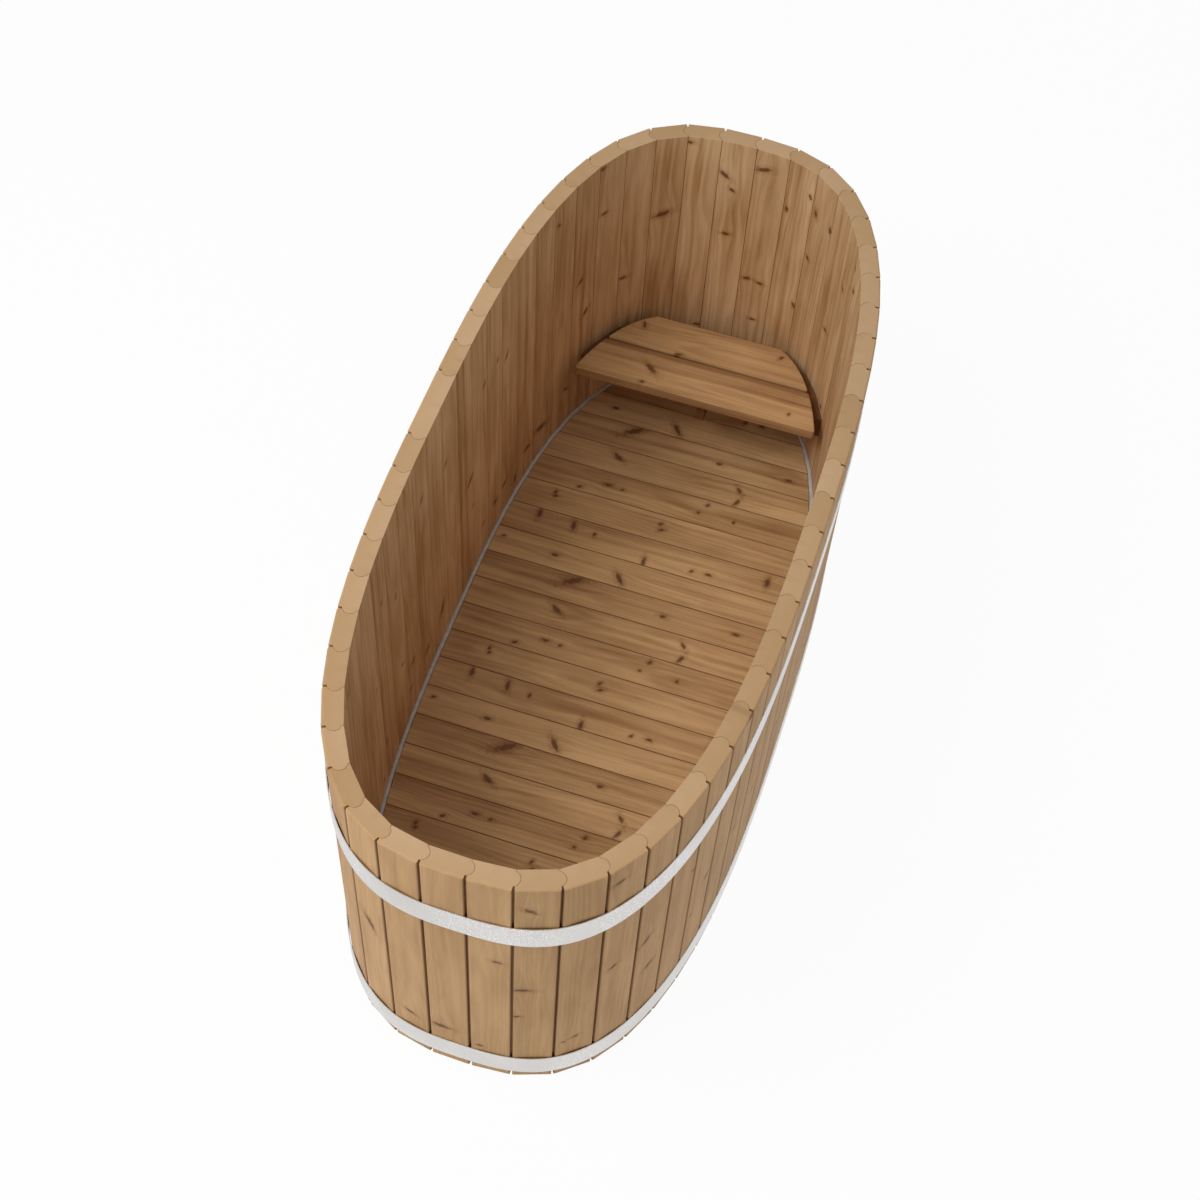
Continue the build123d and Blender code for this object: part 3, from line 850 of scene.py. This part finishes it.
def make_floor_board(number):
    high = floor_edges[number - 1] - floor_gap / 2
    low = floor_edges[number] + floor_gap / 2
    end_board = number in (1, len(floor_edges) - 1)
    steps = 12 if end_board else 6
    lower = across_tub(ring(wall_thickness + floor_clearance), low - floor_foot, high + floor_foot, steps)
    upper = across_tub(ring(wall_thickness + seal_width), low, high, steps)
    if number == drain_board:
        corners = [math.atan2(*(p - drain_centre).yx) for p in upper]
        between = [2 * math.pi * (i + 0.5) / drain_facets - math.pi for i in range(drain_facets)]
        angles = sorted(corners + between)
        lower = seen_from(lower, drain_centre, angles)
        upper = seen_from(upper, drain_centre, angles)
    eases = [floor_ease] * len(upper)
    rings = end_rings(lower, floor_bottom, 1, eases)
    rings.append([Vector((*point, floor_step)) for point in lower])
    rings.append([Vector((*point, floor_step)) for point in upper])
    rings += end_rings(upper, floor_top, -1, eases)[::-1]
    # Share of dark seam colour on each ring, wear and painted shade on the board's sides,
    # from the flat underside over the step to the flat top
    wear_and_shade = [0.0, 0.5, 0.9, 1.0, 1.0, 1.0, 1.0, 0.9, 0.5, 0.0]
    if number == drain_board:
        outwards = [Vector((math.cos(t), math.sin(t))) for t in angles]
        wide = drain_radius + drain_clearance
        narrow = drain_tube + drain_clearance
        hole = [
            (wide, floor_top),
            (wide, floor_top - drain_lip),
            (narrow, floor_top - drain_lip),
            (narrow, floor_bottom),
        ]
        for radius, height in hole:
            rings.append([Vector((*(drain_centre + d * radius), height)) for d in outwards])
        # The drain hole's walls get the seam colour too: painted shade in the hole, with wear
        wear_and_shade += [0.0, 0.6, 0.6, 0.6]
    tone, band, knots = floor_figures[number % len(floor_figures)]
    middle = (floor_edges[number] + floor_edges[number - 1]) / 2
    if number == 1:
        middle = floor_edges[1] + floor_board / 2
    if number == len(floor_edges) - 1:
        middle = floor_edges[number - 1] - floor_board / 2
    seed = figure_seed_step * (number % len(floor_figures)) + board_seed_step * number
    tone += draw.uniform(-0.04, 0.04)
    wood = Wood((0, middle, floor_top), (1, 0, 0), (0, 1, 0), seed, tone, band, knots)
    edges = [[(value, 0.0)] * len(rings[0]) for value in wear_and_shade]
    solids = Solids()
    solids.add_rings(rings, wood, edges, closed=number == drain_board)
    name = f"floor_board_{number:02d}"
    solids.piece(name, floor_wood, "tub", "floor_wood", name)


for number in range(1, len(floor_edges)):
    make_floor_board(number)

# Sealing bead between the floor and the wall: a closed run with a rounded top
seal_top = floor_top - seal_drop
seal_section = [(0.0, floor_step), (0.0, seal_top - 0.001), (0.0012, seal_top - 0.0002), (0.004, seal_top)]
seal_section += [(0.0075, seal_top - 0.0003), (seal_width, seal_top - 0.0015), (seal_width, floor_step)]
seal_rings = []
for depth, z in seal_section:
    seal_rings.append([Vector((*point, z)) for point in ring(wall_thickness + depth)])
seal = Solids()
seal.add_rings(seal_rings, closed=True)
seal.piece("floor_seal", seal_rubber, "tub", "seal", "floor_seal", crease=60)

# Bearers under the floor
bearer_low, bearer_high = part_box("floor_bearers")
bearer_width = 0.060
bearer_round = 0.003
bearer_ease = 0.002
bearer_seed = 4.4
bearers = Solids()
for side in (-1, 1):
    middle = Vector((side * (bearer_high.x - bearer_width / 2), 0.0))
    wood = Wood((*middle, floor_bottom), (0, 1, 0), (-1, 0, 0), bearer_seed + side, knots=drawn_knots())
    outline = rectangle(middle, bearer_width, bearer_high.y - bearer_low.y, bearer_round)
    bearers.add_slab(outline, bearer_low.z, bearer_high.z, bearer_ease, wood)
bearers.piece("floor_bearers", bearer_wood, "tub", "bearer_wood", "floor_bearers")

# Hoops: bent steel bands, open at the lugs
lug_share = joint_share[lug_stave] - 0.5 / (stave_count + 1)
lug_out = wall_normal(lug_share)
lug_along = Vector((-lug_out.y, lug_out.x))
lug_foot = wall_point(lug_share)
hoop_boxes = [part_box("lower_hoop"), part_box("upper_hoop")]
hoop_middles = [(low.z + high.z) / 2 for low, high in hoop_boxes]


def make_hoop(name, box):
    low, high = [side.z for side in box]
    corner_cut = hoop_ease * 0.3
    section = [(0.0, low), (0.0, high), (hoop_thickness - hoop_ease, high)]
    section += [(hoop_thickness - corner_cut, high - corner_cut)]
    section += [(hoop_thickness, high - hoop_ease), (hoop_thickness, low + hoop_ease)]
    section += [(hoop_thickness - corner_cut, low + corner_cut), (hoop_thickness - hoop_ease, low)]
    half_gap = hoop_joint_gap / 2 / walked[-1]
    steps = 440
    rings = []
    for i in range(steps + 1):
        share = lug_share + half_gap + (1 - 2 * half_gap) * i / steps
        point = wall_point(share)
        out = wall_normal(share)
        rings.append([Vector((*(point + out * depth), z)) for depth, z in section])
    hoop = Solids()
    hoop.add_rings(rings)
    hoop.piece(name, hoop_steel, "tub", "hoop_steel", name)


make_hoop("lower_hoop", hoop_boxes[0])
make_hoop("upper_hoop", hoop_boxes[1])


def bolt_place(z, along, out=0.0):
    """Matrix that lays a slab's height along the bolt: its X points out of the wall and its Y down."""
    foot = lug_foot + lug_along * along + lug_out * out
    return Matrix((
        (lug_out.x, 0.0, lug_along.x, foot.x),
        (lug_out.y, 0.0, lug_along.y, foot.y),
        (0.0, -1.0, 0.0, z),
        (0.0, 0.0, 0.0, 1.0),
    ))


lug_outer = hoop_joint_gap / 2 + lug_length
bolt_out = hoop_thickness + bolt_stand_off
origin = Vector((0.0, 0.0))
lugs = Solids()
for z in hoop_middles:
    for along in (-lug_outer, hoop_joint_gap / 2):
        reach = hoop_thickness + lug_reach
        half = lug_height / 2
        inner_low = Vector((lug_inset, -half))
        inner_high = Vector((lug_inset, half))
        outer_low = Vector((reach, -half))
        outer_high = Vector((reach, half))
        outline = rounded(inner_low, outer_low, outer_high, lug_round, 6)
        outline += rounded(outer_low, outer_high, inner_high, lug_round, 6)
        outline += [inner_high, inner_low]
        lugs.add_slab(outline, 0.0, lug_length, lug_ease, place=bolt_place(z, along))
lugs.piece("hoop_lugs", fastener_steel, "tub", "fastener_steel", "hoop_lugs")


def hexagon_rings(bottom, top, bore):
    """Rings of a six-sided head or nut with eased ends, as many points as its round bore or end circle."""
    count = 48
    eased_share = 0.94
    rim = 0.0008
    angles = [2 * math.pi * i / count for i in range(count)]
    corners = circle(origin, nut_radius, 6)
    flats = seen_from(corners, origin, angles)
    eased = [p * min(1.0, eased_share * nut_radius / p.length) for p in flats]
    rings = [(circle(origin, bore, count), bottom), (eased, bottom), (flats, bottom + rim)]
    rings += [(flats, top - rim), (eased, top), (circle(origin, bore, count), top)]
    return [[Vector((*point, height)) for point in points] for points, height in rings]


thread_pitch = 0.00125
thread_depth = 0.0004
thread_start = 0.0002
shank_root = 0.001
shank_taper = 0.0012
head_centre = 0.0035
bolts = Solids()
nuts = Solids()
for z in hoop_middles:
    place = bolt_place(z, -lug_outer, bolt_out)
    head = hexagon_rings(-bolt_head_height, 0.0, head_centre)
    bolts.add_rings([[place @ point for point in points] for points in head])
    shank = [(bolt_radius - thread_depth, -shank_root)]
    end = 2 * lug_outer + nut_height + bolt_spare
    turns = int(end / thread_pitch)
    for i in range(turns):
        shank.append((bolt_radius - thread_depth, i * thread_pitch + thread_start))
        shank.append((bolt_radius, (i + 0.5) * thread_pitch + thread_start))
    shank.append((bolt_radius - shank_taper, end))
    bolts.add_turned(shank, origin, place, 24)
    place = bolt_place(z, lug_outer, bolt_out)
    nut = hexagon_rings(0.0, nut_height, bolt_radius + 0.0001)
    nuts.add_rings([[place @ point for point in points] for points in nut], closed=True)
bolts.piece("hoop_bolts", fastener_steel, "tub", "fastener_steel", "hoop_bolts")
nuts.piece("hoop_nuts", fastener_steel, "tub", "fastener_steel", "hoop_nuts")


# Seat boards, with the dark line in their figure at a chosen place
def make_seat_board(name, line_y, seed, tone, band, knots):
    low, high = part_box(name)
    curve = smooth_ring(-wall_thickness - seat_wall_space)
    flat = across_tub(curve, low.y, high.y, 8, even=True)
    count = len(flat)
    corner_places = (0, count // 2 - 1, count // 2, count - 1)
    outline = []
    for i, point in enumerate(flat):
        if i in corner_places:
            outline += rounded(flat[i - 1], point, flat[(i + 1) % count], seat_corner_round, 4)
        else:
            outline.append(point)
    wood = Wood((0, line_y, high.z), (1, 0, 0), (0, 1, 0), seed, tone, band, knots)
    board = Solids()
    board.add_slab(outline, low.z, high.z, seat_ease, wood)
    board.piece(name, seat_wood, "seat", "seat_wood", name)


make_seat_board(
    "seat_front_board",
    line_y=0.647,
    seed=7.1,
    tone=0.02,
    band=1.5,
    knots=[(-0.111, -0.008, 0.018, -0.7), (-0.120, -0.050, 0.006, 0.4), (0.205, -0.03, 0.005, 1.2)],
)
make_seat_board(
    "seat_back_board",
    line_y=0.742,
    seed=3.3,
    tone=-0.04,
    band=0.6,
    knots=[(-0.162, 0.013, 0.010, 1.9), (0.149, 0.023, 0.007, 1.0), (-0.067, -0.044, 0.009, 0.3)],
)

# Small wooden pieces and screws keep the shape they have in the imported model
# The batten and rests get the dark wood, whose darkness is painted shade under the seat
for name in ("seat_batten", "seat_rests"):
    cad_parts[name].data.materials.clear()
    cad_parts[name].data.materials.append(plain_wood_painted_shade)
for name in ("seat_screws", "rest_screws"):
    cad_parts[name].data.materials.clear()
    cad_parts[name].data.materials.append(fastener_steel)

# Drain flange and tube, its nut underneath, and the plug that lifts out
lip_bottom = floor_top - drain_lip
relief_high = 0.0285
relief_low = 0.0270
relief_radius = 0.0170
tube_end = 0.0180
drain = Solids()
drain.add_turned(
    [
        (drain_bore, floor_top - 0.0015),
        (drain_bore + 0.0005, floor_top - 0.0004),
        (drain_bore + 0.0018, floor_top),
        (drain_radius - 0.0012, floor_top),
        (drain_radius - 0.0003, floor_top - 0.0004),
        (drain_radius, floor_top - 0.0014),
        (drain_radius, lip_bottom),
        (drain_tube, lip_bottom),
        (drain_tube, relief_high),
        (relief_radius, relief_high),
        (relief_radius, relief_low),
        (tube_end, relief_low),
        (tube_end, drain_bottom + 0.001),
        (relief_radius, drain_bottom),
        (drain_bore, drain_bottom),
    ],
    drain_centre,
    count=64,
    closed=True,
)
drain.piece("drain_flange", drain_metal, "tub", "drain_metal", "drain_flange")

drain_nut_radius = 0.029
drain_nut_turned = 0.0275
drain_nut_ease = 0.0012
nut_angles = [2 * math.pi * i / drain_facets for i in range(drain_facets)]
nut_outer = seen_from(circle(drain_centre, drain_nut_radius, 6), drain_centre, nut_angles)
nut_eased = []
for point in nut_outer:
    off = point - drain_centre
    nut_eased.append(drain_centre + off * min(1.0, drain_nut_turned / off.length))
nut_bore = circle(drain_centre, drain_tube + 0.0001, drain_facets)
drain_nut = Solids()
nut_levels = [(nut_bore, drain_nut_low), (nut_eased, drain_nut_low)]
nut_levels += [(nut_outer, drain_nut_low + drain_nut_ease), (nut_outer, floor_bottom - drain_nut_ease)]
nut_levels += [(nut_eased, floor_bottom), (nut_bore, floor_bottom)]
drain_nut.add_rings([[Vector((*p, z)) for p in points] for points, z in nut_levels], closed=True)
drain_nut.piece("drain_nut", drain_metal, "tub", "drain_metal", "drain_nut")

plug_low, plug_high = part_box("drain_plug")
plug_seat = floor_top + 0.0002
plug_radius = 0.0146
plug = Solids()
plug.add_turned(
    [
        (0.0136, plug_low.z),
        (plug_radius, plug_low.z + 0.001),
        (plug_radius, plug_low.z + 0.004),
        (0.0140, plug_low.z + 0.005),
        (plug_radius, plug_low.z + 0.006),
        (plug_radius, plug_seat),
        (0.0178, plug_seat),
        (0.0190, plug_seat + 0.001),
        (0.0190, plug_seat + 0.0028),
        (0.0180, plug_seat + 0.004),
        (0.0090, plug_seat + 0.0042),
        (0.0062, plug_seat + 0.0055),
        (0.0055, plug_seat + 0.0085),
        (0.0068, plug_high.z - 0.0028),
        (0.0066, plug_high.z - 0.0012),
        (0.0052, plug_high.z - 0.0002),
        (0.0030, plug_high.z),
    ],
    drain_centre,
)
plug.piece("drain_plug", plug_rubber, "drain_plug", "plug_rubber", "drain_plug")

# Camera, as the photograph was taken
azimuth = math.radians(14.464)
elevation = math.radians(56.089)
roll = math.radians(4.199)
distance = 4.4128
target = Vector((-0.0761, 0.2058, 0.0))
back = Vector((
    math.sin(azimuth) * math.cos(elevation),
    -math.cos(azimuth) * math.cos(elevation),
    math.sin(elevation),
))
level_right = Vector((math.cos(azimuth), math.sin(azimuth), 0.0))
level_up = back.cross(level_right)
right = level_right * math.cos(roll) + level_up * math.sin(roll)
up = back.cross(right)
camera = bpy.data.objects.new("camera", bpy.data.cameras.new("camera"))
bpy.context.scene.collection.objects.link(camera)
camera_turn = Matrix((right, up, back)).transposed().to_4x4()
camera.matrix_world = Matrix.Translation(target + back * distance) @ camera_turn
camera.data.lens = 60.927
camera.data.sensor_width = 36.0
bpy.context.scene.camera = camera


# Light: an even pale room, and one large soft lamp from the left
def seen_directly(tree):
    """1 for rays from the camera, off a glossy surface or through a clear one, and 0 for all other light."""
    path = tree.nodes.new("ShaderNodeLightPath")
    result = path.outputs["Is Camera Ray"]
    for kind in ("Is Glossy Ray", "Is Transmission Ray"):
        larger = tree.nodes.new("ShaderNodeMath")
        larger.operation = "MAXIMUM"
        tree.links.new(result, larger.inputs[0])
        tree.links.new(path.outputs[kind], larger.inputs[1])
        result = larger.outputs[0]
    return result


room_light = 0.5
world = bpy.data.worlds.new("room")
world.use_nodes = True
bpy.context.scene.world = world
strength = world.node_tree.nodes.new("ShaderNodeMapRange")
strength.inputs["To Min"].default_value = room_light
strength.inputs["To Max"].default_value = 1.0
world.node_tree.links.new(seen_directly(world.node_tree), strength.inputs["Value"])
backdrop = world.node_tree.nodes["Background"]
backdrop.inputs["Color"].default_value = (1.0, 1.0, 1.0, 1.0)
world.node_tree.links.new(strength.outputs[0], backdrop.inputs["Strength"])

lamp = bpy.data.objects.new("lamp", bpy.data.lights.new("lamp", "AREA"))
bpy.context.scene.collection.objects.link(lamp)
lamp.data.size = 2.4
lamp.data.energy = 138.0
lamp.location = (-1.9, -1.75, 4.5)
lamp.visible_glossy = False
lamp.rotation_mode = "QUATERNION"
lamp.rotation_quaternion = (lamp.location - Vector((0.0, 0.0, 0.4))).to_track_quat("Z", "Y")

# Floor: white where it is seen, and a little darker where the tub shades it
floor_mesh = bpy.data.meshes.new("floor")
reach = 30.0
white_share = 0.95
floor_corners = [(-reach, -reach, 0), (reach, -reach, 0), (reach, reach, 0), (-reach, reach, 0)]
floor_mesh.from_pydata(floor_corners, [], [(0, 1, 2, 3)])
floor = bpy.data.objects.new("floor", floor_mesh)
bpy.context.scene.collection.objects.link(floor)
shade = Shader("floor_white")
shade.set(Base_Color=(0.82, 0.82, 0.82, 1.0), Roughness=0.9)
glow = shade.add("ShaderNodeEmission", {"Color": (1.0, 1.0, 1.0, 1.0), "Strength": 1.0})
shown = shade.times(seen_directly(shade.tree), white_share)
both = shade.add("ShaderNodeMixShader", {0: shown, 1: shade.surface.outputs[0], 2: glow.outputs[0]})
shade.feed(shade.tree.nodes["Material Output"].inputs["Surface"], both.outputs[0])
floor_mesh.materials.append(shade.material)

bpy.context.scene.view_settings.view_transform = "Standard"
